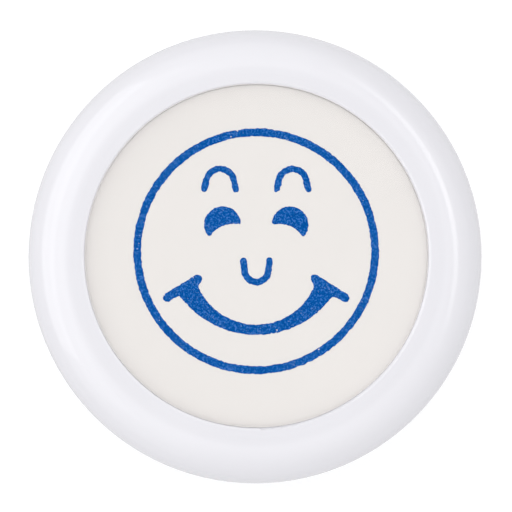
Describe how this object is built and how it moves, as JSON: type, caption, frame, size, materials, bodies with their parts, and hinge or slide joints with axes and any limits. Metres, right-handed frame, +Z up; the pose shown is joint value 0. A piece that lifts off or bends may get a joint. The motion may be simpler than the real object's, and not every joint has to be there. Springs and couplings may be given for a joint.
{
  "type": "rubber stamp",
  "caption": "Round pre-inked hand stamp with a mushroom knob, an index card under a clear window, a sprung skirt and a dust cap.",
  "frame": {"origin": "centre of the dust cap's underside, on the surface the stamp stands on", "axes": "+Z up through the knob; +Y towards the top of the printed face, so the front is -Y; +X to the right as the face is read"},
  "size_m": [0.0294, 0.0294, 0.06],
  "materials": {
    "handle_plastic": "glossy moulded white",
    "skirt_plastic": "semi-gloss moulded cool grey",
    "cap_plastic": "frosted polypropylene",
    "frame_plastic": "plain moulded off-white",
    "plug_plastic": "plain moulded blue-grey",
    "window_acrylic": "clear polished acrylic",
    "card_paper": "smooth off-white card printed in blue",
    "die_rubber": "microporous rubber, stained with blue ink",
    "ink_foam": "open-cell pad soaked in blue ink",
    "ink_felt": "felt soaked in blue ink",
    "seal_rubber": "black nitrile",
    "nut_brass": "turned brass",
    "washer_steel": "zinc-plated steel",
    "spring_steel": "bright spring steel"
  },
  "bodies": {
    "cap": {"dust_cap": "cap_plastic"},
    "skirt": {"skirt": "skirt_plastic", "lower_washer": "washer_steel", "return_spring": "spring_steel"},
    "handle": {"die": "die_rubber", "ink_pad": "ink_foam", "die_frame": "frame_plastic", "frame_gasket": "seal_rubber", "plunger": "frame_plastic", "ink_wick": "ink_felt", "filler_plug": "plug_plastic", "plug_o_ring": "seal_rubber", "depth_nut": "nut_brass", "lock_nut": "nut_brass", "upper_washer": "washer_steel", "retaining_clip": "spring_steel", "handle_barrel": "handle_plastic", "knob": "handle_plastic", "index_card": "card_paper"},
    "window": {"index_window": "window_acrylic"}
  },
  "joints": [
    {"name": "cap_pull", "type": "slide", "parent": "cap", "child": "skirt", "axis": [0, 0, 1], "range_m": [0, 0.016]},
    {"name": "press", "type": "slide", "parent": "skirt", "child": "handle", "axis": [0, 0, -1], "range_m": [0, 0.004], "stiffness_N_per_m": 1500, "springref_m": -0.003, "deforming": ["return_spring"]},
    {"name": "window_lift", "type": "slide", "parent": "handle", "child": "window", "axis": [0, 0, 1], "range_m": [0, 0.008]}
  ]
}
